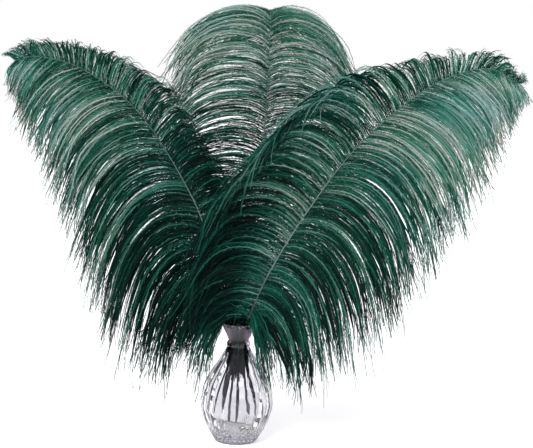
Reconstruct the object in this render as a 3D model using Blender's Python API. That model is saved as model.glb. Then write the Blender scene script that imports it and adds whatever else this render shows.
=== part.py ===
"""Three dyed ostrich plumes standing in a small fluted glass bud vase.

The vase is one turned and fluted glass body, open at its mouth. Each plume is
one closed body: a shaft that starts as a bare quill inside the vase, with the
locks of its two vanes grown out of the shaft's sides. Units are metres, +Z is
up, -Y is the front, and the origin is the centre of the vase's foot.
"""

import math
from dataclasses import dataclass

import bmesh
import bpy
from mathutils import Vector

# Vase
VASE_HEIGHT = 0.120
FOOT_RADIUS = 0.0215
FOOT_BEVEL = 0.0012
HIP_RADIUS = 0.0303
HIP_HEIGHT = 0.0160
BELLY_RADIUS = 0.0365
BELLY_HEIGHT = 0.0420
SHOULDER_RADIUS = 0.0310
SHOULDER_HEIGHT = 0.0575
THROAT_RADIUS = 0.0175
THROAT_HEIGHT = 0.0832
COLLAR_RADIUS = 0.0114
COLLAR_HEIGHT = 0.0965
BEAD_RADIUS = 0.0120
BEAD_HEIGHT = 0.0990
NECK_RADIUS = 0.0104
NECK_HEIGHT = 0.1030
FLARE_RADIUS = 0.0124
FLARE_HEIGHT = 0.1115
LIP_RADIUS = 0.0180
LIP_ROUND = 0.0008
WALL = 0.0034
NECK_WALL = 0.0022
FLOOR_HEIGHT = 0.0090
FLOOR_RADIUS = 0.0120
FLOOR_RISE = 0.0030
FLUTES = 16
FLUTE_DEPTH = 0.0013
FLUTES_FROM = 0.004
FLUTES_TO = 0.094
BODY_STEPS = 2

# Shafts
QUILL_RADIUS = 0.0018
SHAFT_TIP_RADIUS = 0.0005
QUILL_LENGTH = 0.105
SHAFT_SIDES = 6
SPLINE_STEPS = 24

# Locks
LOCKS_A_SIDE = 22
LOCK_ROOT_HEIGHT = 0.0040
LOCK_WIDTH = 0.0120
FULL_LOCK_LENGTH = 0.110
LOCK_TIP_WIDTH = 0.0022
LOCK_THICKNESS = 0.0010
LOCK_TIP_THICKNESS = 0.0006
LOCK_WIDEST = 0.35
LOCK_SEGMENTS = 5
LOCK_TILT = math.radians(30.0)
PATH_STEPS = 3

# How a barb leaves its shaft and hangs
LIFT_LENGTH = 0.012
SAG_LENGTH = 0.100
SAG_POWER = 1.4

DOWN = Vector((0.0, 0.0, -1.0))
FRONT = Vector((0.0, -1.0, 0.0))

GLASS_COLOUR = (0.86, 0.85, 0.90, 1.0)
PLUME_COLOUR = (0.010, 0.085, 0.055, 1.0)
GLASS_ROUGHNESS = 0.02
PLUME_ROUGHNESS = 0.60


@dataclass(frozen=True)
class Station:
    """The barbs at one place along a vane, and how they hang there."""

    along: float
    angle: float
    length: float
    sag: float
    lean: float
    lift: float


@dataclass(frozen=True)
class Plume:
    """One feather: its shaft's route and the barbs of its two vanes."""

    name: str
    route: tuple
    left_vane: tuple
    right_vane: tuple


LEFT_PLUME = Plume(
    name="feather_left",
    route=(
        (0.0220, -0.0010, 0.0220),
        (-0.0023, -0.0010, 0.1000),
        (-0.0090, 0.0000, 0.1210),
        (-0.0275, 0.0045, 0.1824),
        (-0.0518, 0.0095, 0.2447),
        (-0.1065, 0.0150, 0.3258),
        (-0.1640, 0.0170, 0.3679),
        (-0.2080, 0.0130, 0.3795),
        (-0.2320, 0.0104, 0.3750),
    ),
    left_vane=(
        Station(0.00, 72.0, 0.056, 4.4, -0.05, 0.1),
        Station(0.06, 76.0, 0.102, 5.0, -0.03, 0.15),
        Station(0.13, 70.0, 0.150, 4.2, 0.0, 0.2),
        Station(0.25, 55.0, 0.170, 2.6, 0.0, 0.2),
        Station(0.42, 53.0, 0.151, 2.1, 0.05, 0.2),
        Station(0.60, 51.0, 0.138, 1.7, 0.1, 0.2),
        Station(0.85, 50.0, 0.082, 3.0, 0.0, 0.2),
        Station(1.00, 50.0, 0.030, 4.0, 0.5, 0.2),
    ),
    right_vane=(
        Station(0.00, 80.0, 0.060, 3.2, 0.0, 0.1),
        Station(0.12, 84.0, 0.096, 2.6, 0.0, 0.3),
        Station(0.25, 82.0, 0.076, 2.0, 0.0, 0.2),
        Station(0.50, 84.0, 0.060, 2.2, 0.0, 0.2),
        Station(0.62, 80.0, 0.054, 2.4, -0.1, 0.2),
        Station(0.74, 74.0, 0.044, 4.0, -0.3, 0.2),
        Station(0.86, 64.0, 0.035, 6.5, -0.4, 0.1),
        Station(1.00, 50.0, 0.022, 4.0, -0.6, 0.1),
    ),
)
CENTRE_PLUME = Plume(
    name="feather_centre",
    route=(
        (-0.0060, -0.0080, 0.0150),
        (-0.0025, 0.0046, 0.1000),
        (-0.0016, 0.0074, 0.1210),
        (0.0078, 0.0200, 0.2023),
        (0.0177, 0.0360, 0.2968),
        (0.0207, 0.0540, 0.4030),
        (0.0205, 0.0680, 0.4350),
        (0.0184, 0.0970, 0.4350),
        (0.0178, 0.1100, 0.4210),
    ),
    left_vane=(
        Station(0.00, 80.0, 0.100, 1.3, 0.0, 0.65),
        Station(0.30, 80.0, 0.132, 1.1, 0.0, 0.65),
        Station(0.60, 80.0, 0.148, 1.1, 0.0, 0.65),
        Station(0.85, 80.0, 0.149, 1.2, 0.0, 1.3),
        Station(1.00, 72.0, 0.088, 1.2, 0.0, 0.8),
    ),
    right_vane=(
        Station(0.00, 80.0, 0.100, 1.3, 0.0, 0.65),
        Station(0.30, 80.0, 0.126, 1.1, 0.0, 0.65),
        Station(0.60, 80.0, 0.136, 1.3, 0.0, 0.65),
        Station(0.85, 78.0, 0.120, 1.7, 0.0, 1.0),
        Station(1.00, 66.0, 0.070, 1.8, 0.0, 0.8),
    ),
)
RIGHT_PLUME = Plume(
    name="feather_right",
    route=(
        (-0.0250, 0.0040, 0.0270),
        (-0.0002, -0.0054, 0.1000),
        (0.0070, -0.0080, 0.1210),
        (0.0285, -0.0140, 0.1739),
        (0.0637, -0.0260, 0.2372),
        (0.1090, -0.0390, 0.3022),
        (0.1715, -0.0520, 0.3600),
        (0.2250, -0.0580, 0.3812),
        (0.2590, -0.0600, 0.3680),
    ),
    left_vane=(
        Station(0.00, 108.0, 0.060, 2.4, 0.05, 0.1),
        Station(0.12, 92.0, 0.142, 2.4, 0.0, 0.2),
        Station(0.30, 80.0, 0.200, 1.4, -0.05, 0.3),
        Station(0.60, 82.0, 0.152, 1.5, 0.05, 0.3),
        Station(0.72, 83.0, 0.098, 1.7, -0.7, 0.2),
        Station(0.80, 78.0, 0.056, 2.6, -1.0, 0.1),
        Station(0.86, 64.0, 0.038, 6.5, -0.4, 0.1),
        Station(1.00, 50.0, 0.022, 4.0, -0.6, 0.1),
    ),
    right_vane=(
        Station(0.00, 84.0, 0.064, 5.6, 0.2, 0.1),
        Station(0.07, 76.0, 0.098, 5.0, 0.2, 0.2),
        Station(0.15, 67.0, 0.138, 3.9, 0.15, 0.2),
        Station(0.28, 57.0, 0.166, 2.7, 0.1, 0.2),
        Station(0.44, 54.0, 0.151, 2.2, 0.05, 0.2),
        Station(0.60, 52.0, 0.146, 1.8, 0.0, 0.2),
        Station(0.85, 52.0, 0.092, 3.0, 0.0, 0.2),
        Station(1.00, 60.0, 0.032, 4.0, 0.3, 0.2),
    ),
)
PLUMES = (LEFT_PLUME, CENTRE_PLUME, RIGHT_PLUME)


def clear_scene():
    """Removes every object of the open file."""
    for found in list(bpy.data.objects):
        bpy.data.objects.remove(found)


def plain_material(name, colour, roughness, transmission=0.0):
    """Returns a Principled material with one plain colour."""
    material = bpy.data.materials.new(name)
    material.use_nodes = True
    shader = material.node_tree.nodes["Principled BSDF"]
    shader.inputs["Base Color"].default_value = colour
    shader.inputs["Roughness"].default_value = roughness
    shader.inputs["Metallic"].default_value = 0.0
    shader.inputs["Transmission Weight"].default_value = transmission
    return material


def add_object(name, bm, material):
    """Turns a finished bmesh into a linked, smooth-shaded object."""
    mesh = bpy.data.meshes.new(name)
    bm.to_mesh(mesh)
    bm.free()
    mesh.shade_smooth()
    mesh.set_sharp_from_angle(angle=math.radians(30.0))
    mesh.materials.append(material)
    made = bpy.data.objects.new(name, mesh)
    bpy.context.collection.objects.link(made)
    return made


def blend(start, end, share):
    """Returns the value a share of the way from start to end."""
    return start + (end - start) * share


def smooth_route(points, steps):
    """Returns a Catmull-Rom curve through the points, with steps a span."""
    knots = [Vector(point) for point in points]
    knots.insert(0, 2 * knots[0] - knots[1])
    knots.append(2 * knots[-1] - knots[-2])
    curve = []
    for before, start, end, after in zip(knots, knots[1:], knots[2:], knots[3:]):
        for step in range(steps):
            t = step / steps
            bend = (end - before) * t + (2 * before - 5 * start + 4 * end - after) * t**2
            twist = (3 * start - before - 3 * end + after) * t**3
            curve.append(start + (bend + twist) / 2)
    curve.append(knots[-2])
    return curve


class Shaft:
    """A smooth route that can be read by its length, with a frame at each place."""

    def __init__(self, route):
        self.points = smooth_route(route, SPLINE_STEPS)
        self.reach = [0.0]
        for start, end in zip(self.points, self.points[1:]):
            self.reach.append(self.reach[-1] + (end - start).length)
        self.length = self.reach[-1]
        self.faces = self.carry_face()

    def tangent_at_point(self, index):
        """Returns the route's direction at one of its points."""
        last = len(self.points) - 1
        ahead = self.points[min(index + 1, last)]
        behind = self.points[max(index - 1, 0)]
        return (ahead - behind).normalized()

    def carry_face(self):
        """Carries the plume's front direction along the route without twist."""
        face = FRONT
        faces = []
        for index in range(len(self.points)):
            along = self.tangent_at_point(index)
            face = (face - face.dot(along) * along).normalized()
            faces.append(face)
        return faces

    def frame(self, distance):
        """Returns place, tangent, front and left side at a distance from the foot."""
        index = 0
        while index < len(self.reach) - 2 and self.reach[index + 1] < distance:
            index += 1
        share = (distance - self.reach[index]) / (self.reach[index + 1] - self.reach[index])
        place = self.points[index].lerp(self.points[index + 1], share)
        along = self.tangent_at_point(index).lerp(self.tangent_at_point(index + 1), share)
        along.normalize()
        face = self.faces[index].lerp(self.faces[index + 1], share)
        face = (face - face.dot(along) * along).normalized()
        return place, along, face, face.cross(along)


def station_at(vane, share):
    """Returns the vane's barb values at a share of its length."""
    for low, high in zip(vane, vane[1:]):
        if share <= high.along:
            break
    part = (share - low.along) / (high.along - low.along)
    part = min(max(part, 0.0), 1.0)
    return Station(
        along=share,
        angle=blend(low.angle, high.angle, part),
        length=blend(low.length, high.length, part),
        sag=blend(low.sag, high.sag, part),
        lean=blend(low.lean, high.lean, part),
        lift=blend(low.lift, high.lift, part),
    )


def barb_path(root, along, face, side, station, segments):
    """Returns the points of a barb that leaves the shaft and hangs by its weight."""
    angle = math.radians(station.angle)
    leave = math.cos(angle) * along + math.sin(angle) * side + station.lean * face
    leave.normalize()
    steps = segments * PATH_STEPS
    stride = station.length / steps
    place = root.copy()
    path = [place.copy()]
    for step in range(steps):
        run = (step + 0.5) * stride
        lift = station.lift * math.exp(-run / LIFT_LENGTH)
        sag = station.sag * (run / SAG_LENGTH) ** SAG_POWER
        place = place + (leave + lift * along + sag * DOWN).normalized() * stride
        if (step + 1) % PATH_STEPS == 0:
            path.append(place.copy())
    return path


def extrude_to(bm, face, corners):
    """Extrudes a face and moves its new corners to the given places."""
    grown = bmesh.ops.extrude_discrete_faces(bm, faces=[face])["faces"][0]
    for vertex, corner in zip(grown.verts, corners):
        vertex.co = corner
    return grown


def shaft_ring(shaft, distance):
    """Returns the corners of the shaft's section, with two of its faces sideways."""
    place, _, face, side = shaft.frame(distance)
    share = max(distance - QUILL_LENGTH, 0.0) / (shaft.length - QUILL_LENGTH)
    radius = blend(QUILL_RADIUS, SHAFT_TIP_RADIUS, share)
    ring = []
    for corner in range(SHAFT_SIDES):
        turn = 2 * math.pi * (corner - 0.5) / SHAFT_SIDES
        ring.append(place + radius * (math.cos(turn) * side + math.sin(turn) * face))
    return ring


def side_face(cap, corner):
    """Returns the shaft face below the edge that starts at a corner of the cap."""
    edge = cap.loops[corner].edge
    return next(found for found in edge.link_faces if found is not cap)


def lock_size(length, share):
    """Returns the width and thickness of a lock of this length at a share of it."""
    fullness = min(length / FULL_LOCK_LENGTH, 1.0)
    if share < LOCK_WIDEST:
        width = blend(LOCK_ROOT_HEIGHT, LOCK_WIDTH, share / LOCK_WIDEST)
    else:
        width = blend(LOCK_WIDTH, LOCK_TIP_WIDTH, (share - LOCK_WIDEST) / (1 - LOCK_WIDEST))
    return fullness * width, blend(LOCK_THICKNESS, LOCK_TIP_THICKNESS, share)


def grow_lock(bm, root_face, frame, station, hand):
    """Grows a lock of barbs out of a side face; hand is 1 on the left, -1 on the right."""
    place, along, face, side = frame
    path = barb_path(place, along, face, side * hand, station, LOCK_SEGMENTS)
    middle = root_face.calc_center_median()
    arms = [vertex.co - middle for vertex in root_face.verts]
    signs = [(math.copysign(0.5, arm.dot(along)), math.copysign(0.5, arm.dot(face))) for arm in arms]
    tilt = LOCK_TILT * math.cos(math.radians(station.angle))
    across = along
    for step in range(1, len(path)):
        ahead = path[min(step + 1, len(path) - 1)]
        direction = (ahead - path[step - 1]).normalized()
        across = (across - across.dot(direction) * direction).normalized()
        through = across.cross(direction) * hand
        wide = math.cos(tilt) * across - math.sin(tilt) * through
        deep = math.cos(tilt) * through + math.sin(tilt) * across
        width, thickness = lock_size(station.length, step / LOCK_SEGMENTS)
        corners = [path[step] + wide * width * up + deep * thickness * out for up, out in signs]
        root_face = extrude_to(bm, root_face, corners)


def build_plume(plume, material):
    """Builds one feather, its shaft and all its locks, as a single closed body."""
    shaft = Shaft(plume.route)
    vane_length = shaft.length - QUILL_LENGTH
    bm = bmesh.new()
    foot = [bm.verts.new(corner) for corner in shaft_ring(shaft, 0.0)]
    cap = extrude_to(bm, bm.faces.new(foot), shaft_ring(shaft, QUILL_LENGTH / 2))
    bm.faces.new(reversed(foot))
    for lock in range(LOCKS_A_SIDE):
        share = (lock + 0.5) / LOCKS_A_SIDE
        middle = QUILL_LENGTH + share * vane_length
        cap = extrude_to(bm, cap, shaft_ring(shaft, middle - LOCK_ROOT_HEIGHT / 2))
        cap = extrude_to(bm, cap, shaft_ring(shaft, middle + LOCK_ROOT_HEIGHT / 2))
        frame = shaft.frame(middle)
        left_root = side_face(cap, 0)
        right_root = side_face(cap, SHAFT_SIDES // 2)
        grow_lock(bm, left_root, frame, station_at(plume.left_vane, share), 1)
        grow_lock(bm, right_root, frame, station_at(plume.right_vane, share), -1)
    extrude_to(bm, cap, shaft_ring(shaft, middle + LOCK_ROOT_HEIGHT))
    bmesh.ops.recalc_face_normals(bm, faces=bm.faces)
    return add_object(plume.name, bm, material)


def vase_profile():
    """Returns the vase's outline, up its outside and down its inside, as radius and height."""
    body = (
        (FOOT_RADIUS, FOOT_BEVEL),
        (HIP_RADIUS, HIP_HEIGHT),
        (BELLY_RADIUS, BELLY_HEIGHT),
        (SHOULDER_RADIUS, SHOULDER_HEIGHT),
        (THROAT_RADIUS, THROAT_HEIGHT),
        (COLLAR_RADIUS, COLLAR_HEIGHT),
    )
    funnel = (
        (NECK_RADIUS, NECK_HEIGHT),
        (FLARE_RADIUS, FLARE_HEIGHT),
        (LIP_RADIUS, VASE_HEIGHT - LIP_ROUND),
    )
    inner_funnel = (
        (LIP_RADIUS - 2 * LIP_ROUND, VASE_HEIGHT - LIP_ROUND),
        (FLARE_RADIUS - NECK_WALL, FLARE_HEIGHT),
        (NECK_RADIUS - NECK_WALL, NECK_HEIGHT),
    )
    inner_body = (
        (NECK_RADIUS - NECK_WALL, COLLAR_HEIGHT),
        (THROAT_RADIUS - WALL, THROAT_HEIGHT),
        (SHOULDER_RADIUS - WALL, SHOULDER_HEIGHT),
        (BELLY_RADIUS - WALL, BELLY_HEIGHT),
        (HIP_RADIUS - WALL, HIP_HEIGHT + FLOOR_RISE),
        (FLOOR_RADIUS, FLOOR_HEIGHT),
    )
    outline = [(FOOT_RADIUS - FOOT_BEVEL, 0.0)]
    outline += smooth_outline(body)
    outline.append((BEAD_RADIUS, BEAD_HEIGHT))
    outline += smooth_outline(funnel)
    outline.append((LIP_RADIUS - LIP_ROUND, VASE_HEIGHT))
    outline += smooth_outline(inner_funnel)
    outline += smooth_outline(inner_body)
    return outline


def smooth_outline(knots):
    """Returns the smooth outline through knots of radius and height."""
    flat = [(radius, 0.0, height) for radius, height in knots]
    return [(point.x, point.z) for point in smooth_route(flat, BODY_STEPS)]


def flute_depth(height):
    """Returns how deep the flutes are cut at a height, fading out at both ends."""
    share = (height - FLUTES_FROM) / (FLUTES_TO - FLUTES_FROM)
    if not 0.0 < share < 1.0:
        return 0.0
    return FLUTE_DEPTH * math.sin(math.pi * share) ** 0.5


def vase_ring(bm, radius, height, fluted):
    """Adds one ring of the vase and returns its edges."""
    sides = 2 * FLUTES
    depth = flute_depth(height) if fluted else 0.0
    ring = []
    for side in range(sides):
        turn = 2 * math.pi * side / sides
        reach = radius - depth * (side % 2)
        ring.append(bm.verts.new((reach * math.cos(turn), reach * math.sin(turn), height)))
    return [bm.edges.new((ring[side - 1], ring[side])) for side in range(sides)]


def build_vase(material):
    """Builds the fluted vase as one open-mouthed body with a thick base."""
    bm = bmesh.new()
    outline = vase_profile()
    lip = max(range(len(outline)), key=lambda index: outline[index][1])
    rings = []
    for index, (radius, height) in enumerate(outline):
        rings.append(vase_ring(bm, radius, height, index < lip))
    for lower, upper in zip(rings, rings[1:]):
        bmesh.ops.bridge_loops(bm, edges=lower + upper)
    bmesh.ops.contextual_create(bm, geom=rings[0])
    bmesh.ops.contextual_create(bm, geom=rings[-1])
    bmesh.ops.recalc_face_normals(bm, faces=bm.faces)
    return add_object("vase", bm, material)


def main():
    """Builds the vase and the three plumes."""
    clear_scene()
    glass = plain_material("clear glass", GLASS_COLOUR, GLASS_ROUGHNESS, 1.0)
    green = plain_material("green plume", PLUME_COLOUR, PLUME_ROUGHNESS)
    build_vase(glass)
    for plume in PLUMES:
        build_plume(plume, green)


if __name__ == "__main__":
    main()
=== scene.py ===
"""Three dyed ostrich plumes in a small fluted glass vase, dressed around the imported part.

Every piece stands in the part's own frame: metres, +Z up, -Y to the front, and
the origin at the centre of the vase's foot.
"""

import logging
import math
from dataclasses import dataclass, field, replace
from enum import Enum

import bpy
import numpy as np
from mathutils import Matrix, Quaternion, Vector

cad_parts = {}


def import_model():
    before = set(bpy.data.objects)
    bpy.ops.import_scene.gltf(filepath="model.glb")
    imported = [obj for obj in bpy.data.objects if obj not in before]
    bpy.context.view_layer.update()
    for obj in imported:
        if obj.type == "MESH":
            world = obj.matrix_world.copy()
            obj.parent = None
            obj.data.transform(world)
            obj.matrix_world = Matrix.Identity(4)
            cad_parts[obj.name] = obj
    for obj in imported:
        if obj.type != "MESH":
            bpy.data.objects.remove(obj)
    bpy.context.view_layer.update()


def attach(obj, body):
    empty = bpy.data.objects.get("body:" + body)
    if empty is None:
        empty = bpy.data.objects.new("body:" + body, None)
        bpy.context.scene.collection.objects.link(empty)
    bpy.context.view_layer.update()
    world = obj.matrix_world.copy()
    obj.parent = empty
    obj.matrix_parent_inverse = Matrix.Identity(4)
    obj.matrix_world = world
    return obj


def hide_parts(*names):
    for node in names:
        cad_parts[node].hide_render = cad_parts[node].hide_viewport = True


LOG = logging.getLogger("plumes")

Array = np.ndarray
Random = np.random.Generator
Material = bpy.types.Material
Node = bpy.types.Node
Object = bpy.types.Object
Socket = bpy.types.NodeSocket
Tree = bpy.types.NodeTree

BODY = "root"
TINY = 1e-9
TURN = 2 * math.pi
PLAIN = (1.0, 1.0, 1.0)
SPLINE_STEPS = 24
LIFT_LENGTH = 0.012
SAG_LENGTH = 0.100
SAG_POWER = 1.4
LAYERS = 3
CORE = 1
DOWN = np.array((0.0, 0.0, -1.0))
FRONT = np.array((0.0, -1.0, 0.0))


class Hand(Enum):
    """The two sides of a plume, as the one who looks at its front sees them."""

    LEFT = 1
    RIGHT = -1


def unit(vectors: Array) -> Array:
    """Returns the vectors along the last axis at length one."""
    return vectors / np.maximum(np.linalg.norm(vectors, axis=-1, keepdims=True), TINY)


def square(vectors: Array, along: Array) -> Array:
    """Returns the vectors turned square to directions, at length one."""
    return unit(vectors - (vectors * along).sum(-1, keepdims=True) * along)


def ease(value: Array, start: float = 0.0, end: float = 1.0) -> Array:
    """Returns a smooth step from 0 at the start to 1 at the end."""
    held = np.clip((value - start) / (end - start), 0.0, 1.0)
    return held * held * (3.0 - 2.0 * held)


def smooth_route(points: tuple, steps: int) -> Array:
    """Runs a Catmull-Rom curve through the points.

    Args:
        points: the places that the curve goes through.
        steps: how many stretches each span is cut into.

    Returns:
        The curve's places, one a row.
    """
    knots = [np.array(point, float) for point in points]
    knots.insert(0, 2 * knots[0] - knots[1])
    knots.append(2 * knots[-1] - knots[-2])
    curve = []
    for before, start, end, after in zip(knots, knots[1:], knots[2:], knots[3:]):
        for step in range(steps):
            t = step / steps
            bend = (end - before) * t + (2 * before - 5 * start + 4 * end - after) * t**2
            twist = (3 * start - before - 3 * end + after) * t**3
            curve.append(start + (bend + twist) / 2)
    curve.append(knots[-2])
    return np.array(curve)


def carry_frame(path: Array, start: Array) -> tuple:
    """Carries a direction along every route without twist.

    Args:
        path: the routes' places, route by node by coordinate.
        start: the direction at each route's start.

    Returns:
        Each node's direction of travel, and the direction carried to it.
    """
    ahead = np.concatenate((path[:, 1:], path[:, -1:]), 1)
    behind = np.concatenate((path[:, :1], path[:, :-1]), 1)
    travel = unit(ahead - behind)
    carried = []
    for node in range(path.shape[1]):
        start = square(start, travel[:, node])
        carried.append(start)
    return travel, np.stack(carried, 1)


def add_object(name: str, data: bpy.types.ID) -> Object:
    """Puts a new object into the scene.

    Args:
        name: the object's name.
        data: its mesh, lamp or camera.

    Returns:
        The object, at the origin.
    """
    made = bpy.data.objects.new(name, data)
    bpy.context.scene.collection.objects.link(made)
    return made


def stand(thing: Object, place: tuple, aim: tuple, roll: float = 0.0) -> None:
    """Stands a lamp or the camera at its place and points it.

    Args:
        thing: the lamp or the camera.
        place: where it stands.
        aim: what it points at.
        roll: how far it is rolled, in degrees.
    """
    look = (Vector(aim) - Vector(place)).to_track_quat("-Z", "Y")
    thing.location = place
    thing.rotation_mode = "QUATERNION"
    thing.rotation_quaternion = look @ Quaternion((0.0, 0.0, 1.0), math.radians(roll))


# ---------------------------------------------------------------- finishes


def new_material(name: str) -> tuple:
    """Starts a material.

    Args:
        name: the material's name.

    Returns:
        The material, its node tree and its Principled node.
    """
    material = bpy.data.materials.new(name)
    material.use_nodes = True
    return material, material.node_tree, material.node_tree.nodes["Principled BSDF"]


def feed(node: Node, given: dict) -> None:
    """Sets inputs of a node.

    Args:
        node: the node.
        given: a number, a linear colour or a socket for each input's name or place.
    """
    for key, value in given.items():
        if isinstance(value, Socket):
            node.id_data.links.new(value, node.inputs[key])
        else:
            node.inputs[key].default_value = (*value, 1.0) if isinstance(value, tuple) else value


def add_node(tree: Tree, kind: str, given: dict, output: object = 0, **choices: str) -> Socket:
    """Adds a node.

    Args:
        tree: the nodes that it joins.
        kind: its kind.
        given: its inputs, as feed takes them.
        output: the name or place of the output that is wanted.
        choices: its own settings.

    Returns:
        That output.
    """
    node = tree.nodes.new(f"ShaderNode{kind}")
    for key, choice in choices.items():
        setattr(node, key, choice)
    feed(node, given)
    return node.outputs[output]


def attribute_node(tree: Tree, name: str) -> Socket:
    """Returns the value of a mesh attribute."""
    return add_node(tree, "Attribute", {}, "Fac", attribute_name=name)


def noise_node(tree: Tree, scale: float, detail: float) -> Socket:
    """Returns noise that is fixed in the part's own frame."""
    place = add_node(tree, "TexCoord", {}, "Object")
    return add_node(tree, "TexNoise", {"Vector": place, "Scale": scale, "Detail": detail}, "Fac")


def ramp_node(tree: Tree, value: Socket, places: tuple, colours: tuple) -> Socket:
    """Reads a value through a colour ramp.

    Args:
        tree: the nodes that it joins.
        value: what runs along the ramp.
        places: the stops' places, from 0 to 1.
        colours: their linear colours, or numbers for greys.

    Returns:
        The ramp's colour.
    """
    node = tree.nodes.new("ShaderNodeValToRGB")
    elements = node.color_ramp.elements
    while len(elements) < len(places):
        elements.new(0.5)
    for element, place, colour in zip(elements, places, colours):
        element.position = place
        element.color = (*(colour if isinstance(colour, tuple) else (colour,) * 3), 1.0)
    feed(node, {"Fac": value})
    return node.outputs["Color"]


def mix_node(
    tree: Tree, first: object, second: object, share: object = 1.0, blend: str = "MULTIPLY"
) -> Socket:
    """Returns two linear colours or sockets mixed."""
    given = {0: share, 6: first, 7: second}
    return add_node(tree, "Mix", given, 2, data_type="RGBA", blend_type=blend)


@dataclass(frozen=True)
class DyedBarbs:
    """The dyed green vane with painted light and shade: near black green painted where it lies in
    shade, silvery green painted where it is lit.
    """

    name: str = "dyed barbs"
    # The tone ramp: painted deep shade, then dark and middle green, then painted lit green and a
    # painted silvery highlight.
    depth: tuple = (0.0006, 0.0085, 0.0065)
    dark: tuple = (0.0018, 0.038, 0.024)
    middle: tuple = (0.0065, 0.110, 0.068)
    painted_lit_green: tuple = (0.078, 0.232, 0.164)
    painted_highlight: tuple = (0.370, 0.410, 0.365)
    # Painted shade on the barbs near their roots; towards their tips they turn redder.
    root_painted_shade: tuple = (0.62, 0.66, 0.66)
    tip_shade: tuple = (1.30, 0.90, 0.95)
    root_to: float = 0.16
    tip_from: float = 0.75
    teal_shade: tuple = (0.70, 0.94, 1.03)
    patches: tuple = (0.42, 0.66)
    patch_scale: float = 16.0
    patch_detail: float = 2.0
    roughness: float = 0.46
    specular: float = 0.10

    def build(self) -> Material:
        """Returns the material; it reads the attribute along and the tone attribute, which carries
        painted light and shade.
        """
        material, tree, shader = new_material(self.name)
        # Tone ramp: painted shade at its dark end, painted lit green and a painted silvery
        # highlight at its light end.
        steps = (self.depth, self.dark, self.middle, self.painted_lit_green, self.painted_highlight)
        places = tuple(place / (len(steps) - 1) for place in range(len(steps)))
        colour = ramp_node(tree, attribute_node(tree, "tone"), places, steps)
        # Painted shade towards each barb's root, fading out; the tips turn redder.
        places = (0.0, self.root_to, self.tip_from, 1.0)
        shades = (self.root_painted_shade, 1.0, 1.0, self.tip_shade)
        shade = ramp_node(tree, attribute_node(tree, "along"), places, shades)
        noise = noise_node(tree, self.patch_scale, self.patch_detail)
        patch = ramp_node(tree, noise, self.patches, (1.0, self.teal_shade))
        feed(shader, {
            "Base Color": mix_node(tree, mix_node(tree, colour, shade), patch),
            "Roughness": self.roughness,
            "Specular IOR Level": self.specular,
        })
        return material


@dataclass(frozen=True)
class DyedShaft:
    """The shaft's horn: near black where it is a quill, green further up, glossy."""

    name: str = "dyed shaft"
    quill: tuple = (0.004, 0.006, 0.010)
    stem: tuple = (0.130, 0.180, 0.160)
    upper: tuple = (0.034, 0.095, 0.072)
    tip: tuple = (0.060, 0.140, 0.105)
    places: tuple = (0.0, 0.23, 0.34, 0.48, 0.64, 1.0)
    streaks: tuple = (0.35, 0.65)
    streak_shades: tuple = (0.7, 1.25)
    streak_scale: float = 260.0
    streak_detail: float = 3.0
    roughness: float = 0.28

    def build(self) -> Material:
        """Returns the material; it reads the attribute along."""
        material, tree, shader = new_material(self.name)
        shades = (self.quill, self.quill, self.stem, self.stem, self.upper, self.tip)
        colour = ramp_node(tree, attribute_node(tree, "along"), self.places, shades)
        noise = noise_node(tree, self.streak_scale, self.streak_detail)
        streak = ramp_node(tree, noise, self.streaks, self.streak_shades)
        feed(shader, {"Base Color": mix_node(tree, colour, streak), "Roughness": self.roughness})
        return material


@dataclass(frozen=True)
class PolishedGlass:
    """Pressed glass: clear and faintly lilac, with a smoky mauve funnel under its clear lip."""

    name: str = "polished glass"
    tint: tuple = (0.86, 0.855, 0.885)
    smoke: tuple = (0.40, 0.31, 0.40)
    smoke_from: float = 0.0985
    smoke_to: float = 0.1180
    per_metre: float = 5.0
    fade_in: float = 0.012
    fade_out: float = 0.008
    ior: float = 1.50
    smoky_roughness: float = 0.32
    specular: float = 0.15

    def build(self) -> Material:
        """Returns the glass material, whose tint and polish change with height."""
        material, tree, shader = new_material(self.name)
        place = add_node(tree, "TexCoord", {}, "Object")
        rise = add_node(tree, "SeparateXYZ", {"Vector": place}, "Z")
        height = add_node(tree, "Math", {0: rise, 1: self.per_metre}, operation="MULTIPLY")
        low, high = self.per_metre * self.smoke_from, self.per_metre * self.smoke_to
        places = (0.0, low, low + self.fade_in, high - self.fade_out, high)
        tints = (self.tint, self.tint, self.smoke, self.smoke, self.tint)
        polish = (0.0, 0.0, self.smoky_roughness, self.smoky_roughness, 0.0)
        feed(shader, {
            "Base Color": ramp_node(tree, height, places, tints),
            "Roughness": ramp_node(tree, height, places, polish),
            "IOR": self.ior,
            "Specular IOR Level": self.specular,
            "Transmission Weight": 1.0,
        })
        return material


@dataclass(frozen=True)
class PaleFloor:
    """The studio's plain pale floor."""

    name: str = "pale floor"
    colour: tuple = (0.93, 0.93, 0.935)
    roughness: float = 0.9
    specular: float = 0.1
    glow: float = 0.42

    def build(self) -> Material:
        """Returns the floor's matt material."""
        material, _, shader = new_material(self.name)
        feed(shader, {
            "Base Color": self.colour,
            "Roughness": self.roughness,
            "Specular IOR Level": self.specular,
            "Emission Color": PLAIN,
            "Emission Strength": self.glow,
        })
        return material


# ---------------------------------------------------------------- meshes


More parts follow.
